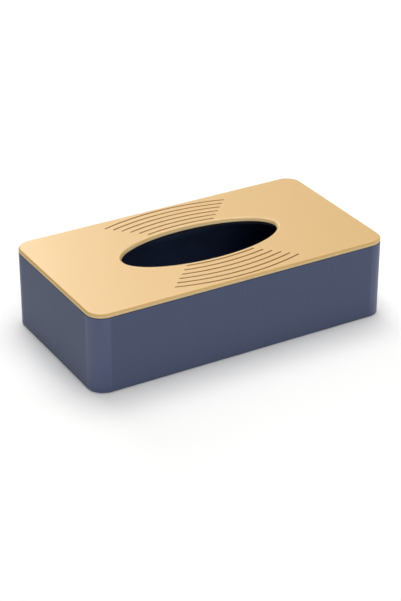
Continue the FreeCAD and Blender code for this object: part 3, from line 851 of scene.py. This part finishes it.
def felt_dots():
    """The two dots that the closed tray comes to, rolled at the rims of their free faces."""
    low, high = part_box("felt_bumpers")
    radius = (high.z - low.z) / 2
    level = (low.z + high.z) / 2
    apart = high.y - radius
    pair = [
        add_level_rod("felt_dot", radius, DOT_SIDES, low.x, high.x, side * apart, level)
        for side in (-1, 1)
    ]
    only(*pair)
    bpy.ops.object.join()
    dots = settle("felt_stop_dots")
    edit(dots)
    round_off(dots, "edges", lambda edge: is_rim(edge, RIGHT), DOT_RIM, FELT_RIM_STEPS)
    leave()
    finish_piece(dots, "felt_bumpers", "case", "felt")


leather_panels()
leather_corners()
drawer_facing()
suede_tray()
felt_pad()
felt_glides()
felt_dots()

# --- finishes of the pieces that stay as they are -------------------------------------


def dress_nodes():
    """Gives each carried-over node the finish of its slot in the record."""
    for part in frame["record"]["subparts"]:
        mesh = frame["nodes"][part["node"]].data
        mesh.materials.clear()
        mesh.materials.append(FINISHES[part["material_slot"]])


dress_nodes()

# --- studio ---------------------------------------------------------------------------

CAMERA_TURN = -30.035
CAMERA_RISE = 28.4
CAMERA_DISTANCE = 1326.4 * MM
CAMERA_AIM = Vector((-17.9, -30.91, 32.66)) * MM
CAMERA_LENS = 106.3
FLOOR_SIZE = 12.0
AIR_STRENGTH = 0.02
SOFTBOX_AIM = Vector((0.0, 0.0, 0.03))
# Name, place, width and height, and power in watts.
SOFTBOXES = (
    ("top_softbox", (0.0, 0.0, 1.6), (1.6, 1.6), 11.5),
    ("narrow_top_softbox", (0.0, 0.0, 1.6), (0.6, 0.6), 4.1),
    ("high_right_softbox", (1.0, 0.3, 1.3), (1.0, 1.0), 3.3),
    ("high_front_softbox", (0.0, -1.2, 1.7), (1.6, 0.8), 3.2),
    ("high_back_softbox", (0.2, 0.8, 1.9), (1.2, 0.8), 9.2),
    ("tilted_back_softbox", (0.3, 1.3, 1.6), (1.4, 0.8), 4.4),
    ("back_softbox", (0.12, 1.6, 0.9), (0.7, 0.7), 6.6),
    ("low_back_softbox", (0.4, 1.8, 0.45), (1.8, 0.5), 3.5),
    ("front_softbox", (0.0, -1.8, 0.8), (1.2, 0.8), 2.6),
    ("low_front_softbox", (0.0, -1.8, 0.3), (1.6, 0.5), 10.7),
    ("left_softbox", (-1.6, 0.0, 0.8), (0.9, 0.7), 2.3),
    ("low_left_softbox", (-1.6, -0.1, 0.12), (0.9, 0.2), 0.7),
    ("far_left_softbox", (-3.0, -0.3, 0.4), (1.6, 0.6), 13.6),
    ("right_softbox", (1.3, -0.1, 0.3), (0.5, 0.5), 3.0),
)


def add_camera():
    """The camera, at its distance from its aim, looking along its turn and rise."""
    turn, rise = math.radians(CAMERA_TURN), math.radians(CAMERA_RISE)
    level = math.cos(rise)
    back = Vector((math.sin(turn) * level, -math.cos(turn) * level, math.sin(rise)))
    data = bpy.data.cameras.new("camera")
    data.lens = CAMERA_LENS
    camera = bpy.data.objects.new("camera", data)
    camera.location = CAMERA_AIM + back * CAMERA_DISTANCE
    camera.rotation_euler = (-back).to_track_quat("-Z", "Y").to_euler()
    bpy.context.scene.collection.objects.link(camera)
    bpy.context.scene.camera = camera


def add_softbox(name, place, size, power):
    """A rectangular light, turned to the middle of the box."""
    data = bpy.data.lights.new(name, "AREA")
    data.shape = "RECTANGLE"
    data.size, data.size_y = size
    data.energy = power
    lamp = bpy.data.objects.new(name, data)
    lamp.location = place
    away = SOFTBOX_AIM - Vector(place)
    lamp.rotation_euler = away.to_track_quat("-Z", "Y").to_euler()
    bpy.context.scene.collection.objects.link(lamp)


def add_floor():
    """A wide plain floor under the box."""
    bpy.ops.object.select_all(action="DESELECT")
    bpy.ops.mesh.primitive_plane_add(size=FLOOR_SIZE, location=(0, 0, 0))
    floor = bpy.context.active_object
    floor.name = "studio_floor"
    material, w, shader, _ = new_finish("studio floor")
    w.feed(shader["Base Color"], FLOOR_TONE)
    w.feed(shader["Roughness"], 0.9)
    w.feed(shader["Specular IOR Level"], 0.1)
    floor.data.materials.append(material)


def light_world(strength):
    """Faint white light from all round."""
    world = bpy.data.worlds.new("studio air")
    world.use_nodes = True
    air = world.node_tree.nodes["Background"].inputs
    air["Color"].default_value = (1.0, 1.0, 1.0, 1.0)
    air["Strength"].default_value = strength
    bpy.context.scene.world = world


add_camera()
add_floor()
light_world(AIR_STRENGTH)
for softbox in SOFTBOXES:
    add_softbox(*softbox)
bpy.context.scene.view_settings.view_transform = "Standard"
